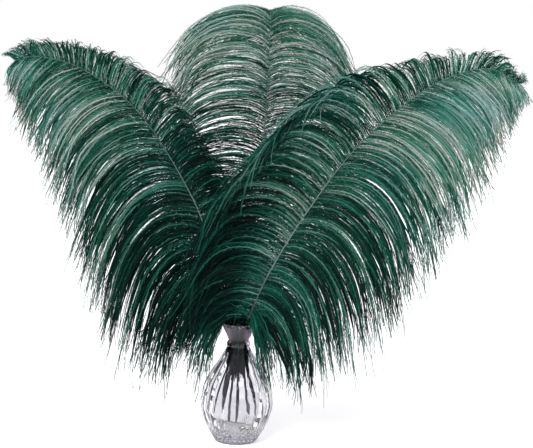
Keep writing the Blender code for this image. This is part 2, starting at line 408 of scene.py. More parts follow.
@dataclass
class FibreMesh:
    """Collects triangles with their attribute along and their tone attribute, which carries painted
    light and shade, and makes one mesh of them.
    """

    parts: list = field(default_factory=list)
    count: int = 0

    def add(
        self, places: Array, corners: Array, smooth: bool, along: Array, row: Array, tone: Array
    ) -> None:
        """Adds triangles.

        Args:
            places: the vertices' places.
            corners: the three vertices of each triangle, counted in places.
            smooth: whether these faces are shaded smooth.
            along: each vertex's place along its barb or shaft, and on the bake map.
            row: each vertex's place across the bake map.
            tone: each vertex's tone, with the light and shade painted into it.
        """
        corners = corners.reshape(-1, 3) + self.count
        values = (along.ravel(), row.ravel(), tone.ravel())
        self.parts.append((places.reshape(-1, 3), corners, np.full(len(corners), smooth), *values))
        self.count += places.size // 3

    def build(self, name: str) -> Object:
        """Makes the mesh object.

        Args:
            name: the piece's name.

        Returns:
            The new object, at the origin, with its place in its mesh.
        """
        places, corners, smooth, along, row, tone = map(np.concatenate, zip(*self.parts))
        mesh = bpy.data.meshes.new(name)
        mesh.vertices.add(len(places))
        mesh.vertices.foreach_set("co", places.astype(np.float32).ravel())
        mesh.loops.add(corners.size)
        mesh.loops.foreach_set("vertex_index", corners.astype(np.int32).ravel())
        mesh.polygons.add(len(corners))
        mesh.polygons.foreach_set("loop_start", np.arange(0, corners.size, 3, dtype=np.int32))
        mesh.polygons.foreach_set("use_smooth", smooth)
        mesh.update(calc_edges=True)
        for key, values in (("along", along), ("tone", tone)):
            attribute = mesh.attributes.new(key, "FLOAT", "POINT")
            attribute.data.foreach_set("value", values.astype(np.float32))
        spread = np.stack((along, row), -1)[corners.ravel()].astype(np.float32)
        mesh.uv_layers.new(name="OFBake").data.foreach_set("uv", spread.ravel())
        mesh.validate()
        return add_object(name, mesh)


def settle(piece: Object, material: Material, slot: str, *nodes: str) -> None:
    """Dresses a piece and ties it to the frame.

    Args:
        piece: the finished piece.
        material: what it is made of.
        slot: not used.
        nodes: the CAD nodes that it stands for.
    """
    piece.data.materials.clear()
    piece.data.materials.append(material)
    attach(piece, BODY)
    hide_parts(*nodes)
    faces = sum(len(face.vertices) - 2 for face in piece.data.polygons)
    LOG.info("%s: %d triangles", piece.name, faces)


# ---------------------------------------------------------------- plumes


class Shaft:
    """A smooth route that can be read by its length, with a frame at each place."""

    def __init__(self, route: tuple) -> None:
        """Lays the route out.

        Args:
            route: the places that the shaft goes through, from its quill's end.
        """
        self.points = smooth_route(route, SPLINE_STEPS)
        strides = np.linalg.norm(np.diff(self.points, axis=0), axis=1)
        self.reach = np.concatenate(([0.0], np.cumsum(strides)))
        self.length = float(self.reach[-1])
        (self.tangents,), (self.faces,) = carry_frame(self.points[None], FRONT[None])

    def _read(self, rows: Array, distance: Array) -> Array:
        """Returns rows of the route read at distances along it."""
        return np.stack([np.interp(distance, self.reach, column) for column in rows.T], -1)

    def frames(self, distance: Array) -> tuple:
        """Reads the shaft's frame at distances from its quill's end.

        Args:
            distance: the distances.

        Returns:
            Places, tangents, front directions and left directions, a row each.
        """
        place = self._read(self.points, distance)
        along = unit(self._read(self.tangents, distance))
        face = square(self._read(self.faces, distance), along)
        return place, along, face, np.cross(face, along)


@dataclass
class Barbs:
    """Many barbs at once: where each leaves its shaft and how it hangs."""

    root: Array
    along: Array
    face: Array
    side: Array
    angle: Array
    length: Array
    sag: Array
    lean: Array | float = 0.0
    lift: Array | float = 0.0
    droop: Array | float = 0.0

    def grow(self, segments: int, steps_each: int = 3) -> Array:
        """Lets every barb leave its shaft and hang by its weight.

        Args:
            segments: how many stretches each barb keeps.
            steps_each: how many steps are worked out in each stretch.

        Returns:
            The places of every barb, barb by node by coordinate.
        """
        leave = np.cos(self.angle)[:, None] * self.along + np.sin(self.angle)[:, None] * self.side
        leave = unit(leave + np.reshape(self.lean, (-1, 1)) * self.face)
        steps = segments * steps_each
        stride = self.length / steps
        place = self.root.copy()
        path = [place]
        for step in range(steps):
            run = (step + 0.5) * stride
            lift = self.lift * np.exp(-run / LIFT_LENGTH)
            sag = self.sag * (run / SAG_LENGTH) ** SAG_POWER
            sag += self.droop * ease((step + 0.5) / steps, 0.5)
            move = leave + lift[:, None] * self.along + sag[:, None] * DOWN
            place = place + unit(move) * stride[:, None]
            if (step + 1) % steps_each == 0:
                path.append(place)
        return np.stack(path, 1)


def group_ends(count: int, least: int, most: int, rng: Random) -> Array:
    """Returns each neighbour's group, when they are dealt into groups of random size."""
    return np.repeat(np.arange(count), rng.integers(least, most + 1, count))[:count]


def gather(path: Array, group: Array, pull: Array) -> Array:
    """Draws the barbs of each group together.

    Args:
        path: the barbs' places.
        group: each barb's group.
        pull: how far each barb is drawn in at each node, from 0 to 1.

    Returns:
        The new places.
    """
    total = np.zeros((group.max() + 1, *path.shape[1:]))
    np.add.at(total, group, path)
    middle = total / np.maximum(np.bincount(group), 1)[:, None, None]
    return path + (middle[group] - path) * pull[..., None]


@dataclass(frozen=True)
class Spread:
    """How a number differs from lock to lock and from barb to barb, and its least and most."""

    usual: float
    of_lock: float
    of_barb: float
    least: float = -math.inf
    most: float = math.inf

    def draw(self, lock: Array, rng: Random) -> Array:
        """Draws the number for every barb.

        Args:
            lock: each barb's lock.
            rng: where the differences come from.

        Returns:
            The numbers.
        """
        shared = rng.normal(0.0, self.of_lock, lock.max() + 1)[lock]
        own = rng.normal(0.0, self.of_barb, len(lock))
        return np.clip(self.usual + (shared + own), self.least, self.most)


@dataclass(frozen=True)
class Waves:
    """Waves along barbs: their reach, its limit as a multiple, and how many there are."""

    size: float
    limit: float
    turns: tuple

    def draw(self, count: int, growth: Array, rng: Random) -> Array:
        """Draws waves of random reach, phase and number.

        Args:
            count: how many barbs or locks wave.
            growth: how the waves grow from node to node.
            rng: where they come from.

        Returns:
            How far the nodes are moved, barb by node by coordinate.
        """
        t = np.linspace(0.0, 1.0, len(growth))[None, :, None]
        most = self.limit * self.size
        reach = np.clip(rng.normal(0.0, self.size, (count, 1, 3)), -most, most)
        phase = rng.uniform(0.0, TURN, (count, 1, 1))
        turns = rng.uniform(*self.turns, (count, 1, 1))
        return reach * growth[None, :, None] * np.sin(TURN * turns * t + phase)


@dataclass(frozen=True)
class VaneStyle:
    """How fine and how loose a vane's barbs are: lengths in metres, angles in degrees."""

    pitch: float = 0.00044
    spacing: tuple = (0.2, 0.8)
    root_out: float = 0.4
    root_spread: float = 0.5
    segments: int = 14
    half_width: float = 0.00041
    ridge: float = 0.00026
    twist: float = 0.5
    core_width: float = 2.5
    core_reach: float = 0.96
    core_calm: float = 0.4
    full_length: float = 0.095
    least_size: float = 0.15
    down_spacing: float = 0.00140
    down_length: float = 0.0045
    down_range: tuple = (0.65, 1.25)
    down_width: float = 0.00062
    down_spread: float = 34.0
    # The down's tone: darker than its barb by painted shade with a random spread, painted shade at
    # each blade's root and a painted sheen at its tip.
    down_tone_and_shade: tuple = (-0.08, 0.14)
    down_painted_sheen: float = 0.12
    fork: tuple = (20.0, 54.0)
    fork_closing: float = 0.55
    angles: Spread = Spread(0.0, 0.9, 2.2)
    lengths: Spread = Spread(0.97, 0.04, 0.08, 0.55, 1.2)
    sags: Spread = Spread(1.0, 0.05, 0.06, 0.6, 1.5)
    leans: Spread = Spread(0.0, 0.048, 0.08, -0.16, 0.16)
    lifts: Spread = Spread(1.0, 0.15, 0.15, 0.3, 2.0)
    droops: Spread = Spread(1.0, 0.4, 0.3, 0.0, 2.2)
    droop: float = 0.9
    ragged: float = 0.0
    layer_angle: float = 3.5
    layer_lean: float = 0.03
    middle_layer: float = 0.7
    waves: Waves = Waves(0.0026, 2.0, (0.4, 1.1))
    wave_power: float = 1.5
    ruffles: Waves = Waves(0.0011, math.inf, (0.8, 2.4))
    root_ruffle: float = 0.15
    curl: float = 0.0050
    curl_limit: float = 1.6
    curl_power: int = 5
    strands: tuple = (1, 4)
    locks: tuple = (5, 18)
    strand_pull: float = 0.20
    tip_pull: float = 0.62
    lock_pull: float = 0.26
    lock_pulls: tuple = (0.3, 1.5)
    lock_power: float = 3.6
    tone: float = 0.40
    tone_spread: tuple = (0.05, 0.08, 0.08)
    # Painted highlight on the first barb of each strand and half as much painted shade on the
    # others.
    painted_rib_light: float = 0.27
    # Painted shade on the core layer of barbs.
    core_depth: float = 0.36
    strays: float = 0.05
    stray_reach: float = 0.30
    stray_longer: tuple = (0.15, 0.48)


def ruffle(path: Array, style: VaneStyle, size: Array, rng: Random) -> Array:
    """Gives every barb its own waves, and a curl at its tip.

    Args:
        path: the barbs' places.
        style: how far the waves and the curl reach.
        size: each barb's share of that reach, less for a short one.
        rng: where the waves come from.

    Returns:
        The new places.
    """
    t = np.linspace(0.0, 1.0, path.shape[1])
    growth = style.root_ruffle + (1.0 - style.root_ruffle) * t
    ripple = style.ruffles.draw(len(path), growth, rng)
    most = style.curl_limit * style.curl
    curl = np.clip(rng.normal(0.0, style.curl, (len(path), 1, 3)), -most, most)
    return path + (ripple + curl * t[None, :, None] ** style.curl_power) * size[:, None, None]


@dataclass
class Ribbons:
    """Barbs as flat tapered ribbons with a ridge, and their down.

    The fields are the barbs' places, the direction across each at its root, its tone with the
    light and shade painted into it, from 0 to 1, and how many times the usual width it has at
    each node, how many times the usual length its down has, how fine it all is and where the
    differences come from. A barb's section has three corners, whose places out, up and on the
    bake map's rows follow.
    """

    path: Array
    start: Array
    tone: Array
    wide: Array
    fur: Array
    style: VaneStyle
    rng: Random
    section_out: tuple = (1.0, -1.0, 0.0)
    section_up: tuple = (-0.4, -0.4, 1.0)
    section_rows: tuple = (-0.16, 0.0, 0.16)
    down_row: float = 0.42

    def __post_init__(self) -> None:
        """Carries a frame along every barb."""
        self.count, self.nodes, _ = self.path.shape
        self.travel, self.across = carry_frame(self.path, self.start)
        self.through = np.cross(self.travel, self.across)

    def add_barbs(self, fibre: FibreMesh) -> None:
        """Adds the barbs.

        Args:
            fibre: the mesh that grows.
        """
        style, count, nodes = self.style, self.count, self.nodes
        t = np.linspace(0.0, 1.0, nodes)
        width = style.half_width * (0.80 + 0.20 * ease(t, 0.0, 0.14))
        width *= 1.0 - 0.40 * ease(t, 0.45)
        ridge = style.ridge * (1.0 - 0.6 * t)
        roll = self.rng.normal(0.0, style.twist, (count, 1))
        roll = (roll + self.rng.normal(0.0, style.twist, (count, 1)) * t[None]) / self.wide
        cos, sin = np.cos(roll)[..., None], np.sin(roll)[..., None]
        flat = cos * self.across + sin * self.through
        deep = cos * self.through - sin * self.across
        out = np.array(self.section_out)[:, None] * (self.wide * width)[:, :, None, None]
        up = np.array(self.section_up)[:, None] * ridge[:, None, None]
        places = self.path[:, :, None] + out * flat[:, :, None] + up * deep[:, :, None]
        node, corner = np.meshgrid(np.arange(nodes - 1), np.arange(3), indexing="ij")
        a = (node * 3 + corner).ravel()
        b = (node * 3 + (corner + 1) % 3).ravel()
        one = np.concatenate((np.stack((a, b, b + 3), -1), np.stack((a, b + 3, a + 3), -1)))
        corners = one[None] + (np.arange(count) * nodes * 3)[:, None, None]
        share = np.broadcast_to(t[None, :, None], (count, nodes, 3))
        rows = ((np.arange(count) + 0.5) / count)[:, None, None]
        rows = np.broadcast_to(rows + np.array(self.section_rows) / count, share.shape)
        fibre.add(places, corners, True, share, rows, np.repeat(self.tone.ravel(), 3))

    def add_down(self, fibre: FibreMesh) -> None:
        """Adds the down: fine blades that leave both sides of every barb.

        Args:
            fibre: the mesh that grows.
        """
        style, rng, spans = self.style, self.rng, self.nodes - 1
        length = np.linalg.norm(np.diff(self.path, axis=1), axis=-1).sum(1)
        number = np.maximum((length / style.down_spacing).astype(int), 4) * 2 * (self.fur > 0)
        barb = np.repeat(np.arange(self.count), number)
        blades = len(barb)
        first = np.repeat(np.concatenate(([0], np.cumsum(number)[:-1])), number)
        t = (np.arange(blades) - first + rng.uniform(0, 1, blades)) / number[barb]
        hand = np.where(rng.uniform(0, 1, blades) < 0.5, -1.0, 1.0)
        node = np.minimum((t * spans).astype(int), spans - 1)
        part = (t * spans - node)[:, None]

        def read(rows: Array) -> Array:
            """Returns the nodes' rows at every blade's root."""
            return rows[barb, node] * (1 - part) + rows[barb, node + 1] * part

        root, way = read(self.path), unit(read(self.travel))
        out, up = read(self.across), read(self.through)
        spread = np.radians(rng.normal(0.0, style.down_spread, blades))[:, None]
        fork = rng.uniform(*style.fork, blades) * (1 - style.fork_closing * t)
        fork = np.radians(fork)[:, None]
        aside = np.cos(spread) * out * hand[:, None] + np.sin(spread) * up
        blade = unit(np.cos(fork) * way + np.sin(fork) * aside)
        fullness = (0.75 + 0.25 * ease(t, 0.0, 0.12)) * (1.0 - 0.42 * ease(t, 0.55))
        usual = style.down_length * self.fur[barb] * fullness
        reach = (usual * rng.uniform(*style.down_range, blades))[:, None]
        width = (style.down_width * (0.6 + 0.4 * fullness))[:, None]
        places = np.stack((root - way * width / 2, root + way * width / 2, root + blade * reach), 1)
        row = (barb + 0.5) / self.count
        ahead = 0.5 * width[:, 0] / length[barb]
        end = t + np.cos(fork[:, 0]) * reach[:, 0] / length[barb]
        along = np.clip(np.stack((t - ahead, t + ahead, end), -1), 0, 1)
        rows = np.stack((row, row, row + hand * self.down_row / self.count), -1)
        # Painted shade at each blade's root and a painted sheen at its tip, with the down's own
        # darker painted shade and random spread.
        ends = np.array((-style.down_painted_sheen, -style.down_painted_sheen, style.down_painted_sheen))
        own = rng.normal(*style.down_tone_and_shade, blades)[:, None] + ends
        shade = np.clip(read(self.tone[..., None]) + own, 0, 1)
        fibre.add(places, np.arange(blades * 3), False, along, rows, shade)

    def build(self, name: str) -> Object:
        """Makes the barbs and their down into one piece.

        Args:
            name: the piece's name.

        Returns:
            The piece.
        """
        fibre = FibreMesh()
        self.add_barbs(fibre)
        self.add_down(fibre)
        return fibre.build(name)


@dataclass(frozen=True)
class Vane:
    """One side of a plume: tables of how its barbs hang and of the light and shade painted on them.

    The barbs' tables are read at the places along, from 0 to 1, and those of the painted light
    and shade at the barbs' roots, middles and tips at their own places along the vane.
    """

    along: tuple
    angle: tuple
    length: tuple
    sag: tuple
    lean: tuple
    lift: tuple
    lit: tuple
    root: tuple
    middle: tuple
    tip: tuple
    style: VaneStyle = VaneStyle()

    def read(self, key: str, share: Array) -> Array:
        """Returns one table's values at places along the vane."""
        places = self.lit if key in ("root", "middle", "tip") else self.along
        return np.interp(share, places, getattr(self, key))

    def shade(self, share: Array) -> Array:
        """Works out the painted light and shade: how much lighter or darker each barb is painted at
        each node.

        Args:
            share: each barb's place along the vane.

        Returns:
            The differences, barb by node.
        """
        t = np.linspace(0.0, 1.0, self.style.segments + 1)
        root, middle, tip = (self.read(key, share)[:, None] for key in ("root", "middle", "tip"))
        early, late = ease(t, 0.0, 0.4), ease(t, 0.5)
        return root + (middle - root) * early + (tip - middle) * late


@dataclass(frozen=True)
class Fluff:
    """Loose barbs: how many, how they leave the shaft and hang, and where.

    The heights are counted from the vase's lip, and held is how far from the axis those
    inside the vase may reach. It is 0 for those outside.
    """

    count: int
    angle: tuple
    length: tuple
    sag: tuple
    heights: tuple
    around: tuple = (0.0, 360.0)
    held: float = 0.0


@dataclass
class Plume:
    """One feather: its shaft's route, its two vanes and the loose barbs near the vase."""

    name: str
    node: str
    seed: int
    route: tuple
    left: Vane
    right: Vane
    side_fluff: Fluff = Fluff(40, (70.0, 115.0), (0.020, 0.050), (3.0, 8.0), (0.002, 0.020))
    mouth_fluff: Fluff = Fluff(
        110, (35.0, 105.0), (0.008, 0.024), (1.0, 4.0), (0.002, 0.016), around=(150.0, 390.0)
    )
    neck_fluff: Fluff = Fluff(
        170, (138.0, 174.0), (0.014, 0.038), (0.3, 1.5), (-0.022, -0.010), held=0.0105
    )
    plug_fluff: Fluff = Fluff(
        70, (15.0, 80.0), (0.004, 0.012), (0.2, 1.0), (-0.006, 0.003), held=0.0150
    )
    fluff_style: VaneStyle = VaneStyle(
        segments=10,
        half_width=0.00034,
        ridge=0.00020,
        down_length=0.0030,
        down_width=0.00046,
        ruffles=Waves(0.0012, math.inf, (0.8, 2.4)),
        curl=0.0030,
        tone=0.36,
    )
    fluff_spread: float = 0.16
    fluff_width: float = 1.35
    held_width: float = 5.0
    held_fur: float = 0.4
    quill_length: float = 0.105
    quill_radii: tuple = (0.0022, 0.0032, 0.0025, 0.0018)
    quill_places: tuple = (0.0, 0.030, 0.075, 0.105)
    stem_from: float = 0.025
    stem_radius: float = 0.00066
    tip_radius: float = 0.00030
    shaft_sides: int = 16
    shaft_rings: int = 220
    point_radius: float = 0.35
    point_length: float = 0.006
    groove_depth: float = 0.22
    groove_power: int = 6
    right_seed: int = 50
    fluff_seed: int = 90

    def __post_init__(self) -> None:
        """Lays out the shaft."""
        self.shaft = Shaft(self.route)
        self.vanes = {Hand.LEFT: self.left, Hand.RIGHT: self.right}

    def radius_at(self, distance: Array) -> Array:
        """Returns the shaft's radius at distances from the quill's end."""
        ends = (*self.quill_places, self.quill_length + self.stem_from, self.shaft.length)
        return np.interp(distance, ends, (*self.quill_radii, self.stem_radius, self.tip_radius))

    def build_shaft(self) -> Object:
        """Returns the shaft, a tapered tube with a shallow groove down its back."""
        rings, sides = self.shaft_rings, self.shaft_sides
        distance = np.linspace(0.0, self.shaft.length, rings)
        place, _, face, side = self.shaft.frames(distance)
        radius = self.radius_at(distance)
        radius *= np.minimum(1.0, self.point_radius + distance / self.point_length)
        turn = TURN * np.arange(sides) / sides
        groove = 1.0 - self.groove_depth * np.clip(-np.sin(turn), 0.0, None) ** self.groove_power
        across = np.cos(turn)[None, :, None] * side[:, None]
        out = across + (np.sin(turn) * groove)[None, :, None] * face[:, None]
        ring, corner = np.meshgrid(np.arange(rings - 1), np.arange(sides), indexing="ij")
        a = (ring * sides + corner).ravel()
        b = (ring * sides + (corner + 1) % sides).ravel()
        fan = np.arange(1, sides - 1)
        hub = np.zeros_like(fan)
        corners = (
            np.stack((a, b, b + sides), -1),
            np.stack((a, b + sides, a + sides), -1),
            np.stack((hub, fan + 1, fan), -1),
            np.stack((hub, fan, fan + 1), -1) + (rings - 1) * sides,
        )
        fibre = FibreMesh()
        fibre.add(
            place[:, None] + radius[:, None, None] * out,
            np.concatenate(corners),
            True,
            np.repeat(distance / self.shaft.length, sides),
            np.tile(np.arange(sides) / sides, rings),
            np.full(rings * sides, 0.5),
        )
        return fibre.build(f"{self.name}_shaft")

    def lay_barbs(self, hand: Hand, rng: Random) -> tuple:
        """Sets out one side's barbs, with the small differences between them.

        Args:
            hand: which side.
            rng: where the differences come from.

        Returns:
            The barbs, and the number of the lock that each is in.
        """
        vane, style = self.vanes[hand], self.vanes[hand].style
        vane_length = self.shaft.length - self.quill_length
        count = int(vane_length / style.pitch)
        share = (np.arange(count) + rng.uniform(*style.spacing, count)) / count
        layer = np.arange(count) % LAYERS
        lock = group_ends(count, *style.locks, rng) * LAYERS + layer
        distance = self.quill_length + share * vane_length
        place, along, face, side = self.shaft.frames(distance)
        side = side * hand.value
        radius = self.radius_at(distance)[:, None]
        forward = rng.uniform(-style.root_spread, style.root_spread, (count, 1))
        stray = (rng.uniform(0.0, 1.0, count) < style.strays) & (share < style.stray_reach)
        longer = np.where(stray, rng.uniform(*style.stray_longer, count), 0.0)
        longer -= style.ragged * rng.uniform(0.0, 1.0, count)
        reach = np.where(layer == CORE, style.core_reach, 1.0)
        angle = vane.read("angle", share) + style.layer_angle * layer + style.angles.draw(lock, rng)
        barbs = Barbs(
            root=place + side * radius * style.root_out + face * radius * forward,
            along=along,
            face=face,
            side=side,
            angle=np.radians(angle),
            length=vane.read("length", share) * (style.lengths.draw(lock, rng) + longer) * reach,
            sag=vane.read("sag", share) * style.sags.draw(lock, rng),
            lean=vane.read("lean", share)
            + style.layer_lean * (style.middle_layer - layer)
            + style.leans.draw(lock, rng),
            lift=vane.read("lift", share) * style.lifts.draw(lock, rng),
            droop=style.droop * style.droops.draw(lock, rng),
        )
        return barbs, lock

    def build_vane(self, hand: Hand, vase: "GlassVase") -> Object:
        """Builds one side's barbs, each with its down.

        Args:
            hand: which side.
            vase: the vase, which the barbs hang clear of.

        Returns:
            The vane as one mesh object.
        """
        rng = np.random.default_rng(self.seed + self.right_seed * (hand is Hand.RIGHT))
        vane, style = self.vanes[hand], self.vanes[hand].style
        barbs, lock = self.lay_barbs(hand, rng)
        count, locks = len(lock), lock.max() + 1
        t = np.linspace(0.0, 1.0, style.segments + 1)
        path = barbs.grow(style.segments) + style.waves.draw(locks, t**style.wave_power, rng)[lock]
        layer = np.arange(count) % LAYERS
        core = layer == CORE
        strand = np.repeat(group_ends(count, *style.strands, rng), LAYERS)[:count] * LAYERS + layer
        pull = style.strand_pull * ease(t, 0.0, 0.25)
        pull += (style.tip_pull - style.strand_pull) * ease(t, 0.45)
        calm = np.where(core, style.core_calm, 1.0)[:, None] + 0.3 * ease(t, 0.5, 0.9)
        path = gather(path, strand, pull * np.minimum(calm, 1.0))
        pull = style.lock_pull * rng.uniform(*style.lock_pulls, locks)[lock]
        path = gather(path, lock, pull[:, None] * t**style.lock_power)
        size = np.clip(barbs.length / style.full_length, style.least_size, 1.0)
        path = vase.keep_out(ruffle(path, style, size, rng))
        first = np.concatenate((np.ones(LAYERS, bool), strand[LAYERS:] != strand[:-LAYERS]))
        of_lock, of_strand, of_barb = style.tone_spread
        tone = style.tone + rng.normal(0, of_lock, locks)[lock]
        tone += rng.normal(0, of_strand, strand.max() + 1)[strand]
        # Painted highlight on each strand's first barb, painted shade on its others; none on the
        # core layer.
        painted_rib_light = np.where(first, style.painted_rib_light, -0.5 * style.painted_rib_light) * ~core
        tone += painted_rib_light + rng.normal(0, of_barb, count)
        # Painted shade on the core layer.
        tone -= np.where(core, style.core_depth, 0.0)
        # Painted light and shade from the vane's tables, added to each barb's tone.
        tone = np.clip(tone[:, None] + vane.shade((np.arange(count) + 0.5) / count), 0.0, 1.0)
        bulge = ease(t, 0.0, 0.40) * (1.0 - ease(t, 0.66))
        wide = 1.0 + np.where(core, (style.core_width - 1.0) * size, 0.0)[:, None] * bulge
        made = Ribbons(path, barbs.along, tone, wide, np.where(core, 0.0, 1.0), style, rng)
        return made.build(f"{self.name}_{hand.name.lower()}_vane")

    def sprout(self, fluff: Fluff, lip: float, rng: Random) -> tuple:
        """Grows loose barbs all round the shaft between two heights.

        Args:
            fluff: how many there are and how they hang.
            lip: the height of the vase's lip.
            rng: where their differences come from.

        Returns:
            The barbs' places, and the shaft's direction at each.
        """
        low = slice(3 * SPLINE_STEPS)
        heights = [lip + height for height in fluff.heights]
        ends = np.interp(heights, self.shaft.points[low, 2], self.shaft.reach[low])
        count = fluff.count
        place, along, face, side = self.shaft.frames(rng.uniform(*ends, count))
        around = np.radians(rng.uniform(*fluff.around, (count, 1)))
        barbs = Barbs(
            root=place,
            along=along,
            face=face,
            side=np.cos(around) * side + np.sin(around) * face,
            angle=np.radians(rng.uniform(*fluff.angle, count)),
            length=rng.uniform(*fluff.length, count),
            sag=rng.uniform(*fluff.sag, count),
        )
        path = barbs.grow(self.fluff_style.segments)
        return ruffle(path, self.fluff_style, np.ones(count), rng), along

    def build_fluff(self, vase: "GlassVase") -> Object:
        """Builds the loose barbs at the mouth of the vase and in its neck.

        Args:
            vase: the vase that they lie in and over.

        Returns:
            The fluff as one mesh object.
        """
        rng = np.random.default_rng(self.seed + self.fluff_seed)
        style, paths, starts, inside = self.fluff_style, [], [], []
        for fluff in (self.mouth_fluff, self.side_fluff, self.neck_fluff, self.plug_fluff):
            path, start = self.sprout(fluff, vase.height, rng)
            paths.append(vase.keep_in(path, fluff.held) if fluff.held else vase.keep_out(path))
            starts.append(start)
            inside.append(np.full(fluff.count, fluff.held > 0.0))
        path, start, inside = map(np.concatenate, (paths, starts, inside))
        # Painted shade: the barbs inside the vase take the darkest tone and are widened into a near
        # black mass.
        tone = rng.normal(0.0, self.fluff_spread, len(path)) * np.where(inside, 0.3, 1.0)
        tone = np.clip(np.where(inside, 0.0, style.tone) + tone, 0.0, 1.0)
        wide = np.where(inside, self.held_width, self.fluff_width)
        tone, wide = (np.repeat(value[:, None], path.shape[1], 1) for value in (tone, wide))
        fur = np.where(inside, self.held_fur, 1.0)
        return Ribbons(path, start, tone, wide, fur, style, rng).build(f"{self.name}_fluff")

    def build(self, barbs: Material, horn: Material, vase: "GlassVase") -> None:
        """Builds the shaft, both vanes and the fluff, and ties them to the frame.

        Args:
            barbs: the vanes' material.
            horn: the shaft's material.
            vase: the vase that the plume stands in.
        """
        settle(self.build_shaft(), horn, "plume", self.node)
        for hand in Hand:
            settle(self.build_vane(hand, vase), barbs, "plume", self.node)
        settle(self.build_fluff(vase), barbs, "plume", self.node)


# ---------------------------------------------------------------- vase


@dataclass
class GlassVase:
    """The fluted bud vase, turned from its outline and then cut.

    The outline's knots are pairs of radius and height.
    """

    height: float = 0.120
    around: int = 288
    flutes: int = 16
    flute_depth: float = 0.0014
    ripple: float = 0.00045
    ripple_waves: tuple = ((9, 220.0, 0.0), (5, -310.0, 1.0))
    diamonds: int = 30
    diamond_height: float = 0.0062
    diamond_depth: float = 0.0014
    diamonds_from: float = 0.0012
    diamonds_to: float = 0.0165
    flutes_from: float = 0.004
    flutes_to: float = 0.094
    fluted_diamonds: float = 0.6
    ripple_from: float = 0.0128
    lip_round: float = 0.0010
    lip_turns: tuple = (0.30, 0.5, 0.70)
    outline_steps: int = 8
    foot_steps: int = 22
    wall: float = 0.0012
    foot_edge: float = 0.0005
    merge: float = 0.00001
    sharp_from: float = 30.0
    clearance: float = 0.0012
    inner_clearance: float = 0.7
    foot: tuple = (0.0, 0.0100, 0.0160, 0.0203)
    body: tuple = (
        (0.0215, 0.0012),
        (0.0300, 0.0150),
        (0.0356, 0.0320),
        (0.0362, 0.0450),
        (0.0325, 0.0600),
        (0.0248, 0.0740),
        (0.0165, 0.0870),
        (0.0114, 0.0965),
    )
    bead: tuple = ((0.01165, 0.0975), (0.0120, 0.0990), (0.01165, 0.1005))
    funnel: tuple = ((0.0101, 0.1030), (0.0140, 0.1115), (0.0180, 0.1190))
    inner_funnel: tuple = ((0.0160, 0.1190), (0.0119, 0.1115), (0.0081, 0.1030))
    inner_body: tuple = (
        (0.0082, 0.0965),
        (0.0132, 0.0870),
        (0.0214, 0.0740),
        (0.0291, 0.0600),
        (0.0329, 0.0450),
        (0.0323, 0.0320),
        (0.0262, 0.0205),
        (0.0190, 0.0128),
        (0.0120, 0.0098),
    )
    inner_floor: tuple = ((0.0060, 0.0086), (0.0, 0.0083))

    def wall_at(self, height: Array, *knots: tuple) -> Array:
        """Returns a wall's radius at heights, read from its knots."""
        return np.interp(height, *zip(*sorted((level, radius) for radius, level in knots)))

    def keep_out(self, path: Array) -> Array:
        """Lays barbs over the lip and outside the wall, where they would go through the glass.

        Args:
            path: the barbs' places.

        Returns:
            The new places.
        """
        path = path.copy()
        top = self.height + self.clearance
        radius = np.hypot(path[..., 0], path[..., 1])
        over = radius < self.funnel[-1][0] + self.clearance
        path[..., 2] = np.where(over, np.maximum(path[..., 2], top), path[..., 2])
        wall = self.wall_at(path[..., 2], *self.body, self.bead[1], *self.funnel) + self.clearance
        beside = (path[..., 2] < top) & ~over
        scale = np.where(beside, np.maximum(wall / np.maximum(radius, TINY), 1.0), 1.0)
        path[..., :2] *= scale[..., None]
        return path

    def keep_in(self, path: Array, most: float) -> Array:
        """Draws barbs in from the inside of the wall.

        Args:
            path: the barbs' places.
            most: how far from the axis they may reach at most.

        Returns:
            The new places.
        """
        path = path.copy()
        radius = np.hypot(path[..., 0], path[..., 1])
        wall = self.wall_at(path[..., 2], *self.inner_body, *self.inner_funnel)
        wall = np.minimum(wall - self.inner_clearance * self.clearance, most)
        path[..., :2] *= np.minimum(wall / np.maximum(radius, TINY), 1.0)[..., None]
        return path

    def outline(self) -> list:
        """Returns radius and height, from the foot's centre to the inner floor's."""

        def smooth(knots: tuple, steps: int = self.outline_steps) -> list:
            """Returns the smooth outline through knots of radius and height."""
            route = smooth_route([(radius, 0.0, height) for radius, height in knots], steps)
            return [(point[0], point[2]) for point in route]

        edge, top = self.funnel[-1][0] - self.lip_round, self.height - self.lip_round
        rows = [(radius, 0.0) for radius in self.foot]
        rows += smooth(self.body, self.foot_steps)[: self.foot_steps]
        rows += smooth(self.body)[self.outline_steps :]
        rows += self.bead
        rows += smooth(self.funnel)
        for turn in self.lip_turns:
            angle = math.pi * turn
            out, up = self.lip_round * math.cos(angle), self.lip_round * math.sin(angle)
            rows.append((edge + out, top + up))
        return rows + smooth(self.inner_funnel) + smooth(self.inner_body) + list(self.inner_floor)

    def turn_outline(self, rows: list) -> Object:
        """Spins the outline round the vase's axis.

        Args:
            rows: radius and height, from the foot's centre to the inner floor's.

        Returns:
            The turned vase.
        """
        mesh = bpy.data.meshes.new("glass_vase")
        edges = [(row, row + 1) for row in range(len(rows) - 1)]
        mesh.from_pydata([(radius, 0.0, height) for radius, height in rows], edges, [])
        made = add_object("glass_vase", mesh)
        bpy.ops.object.select_all(action="DESELECT")
        bpy.context.view_layer.objects.active = made
        made.select_set(True)
        bpy.ops.object.mode_set(mode="EDIT")
        bpy.ops.mesh.select_all(action="SELECT")
        bpy.ops.mesh.spin(steps=self.around, angle=TURN, center=(0, 0, 0), axis=(0, 0, 1))
        bpy.ops.mesh.select_all(action="SELECT")
        bpy.ops.mesh.remove_doubles(threshold=self.merge)
        bpy.ops.mesh.normals_make_consistent(inside=False)
        bpy.ops.object.mode_set(mode="OBJECT")
        return made

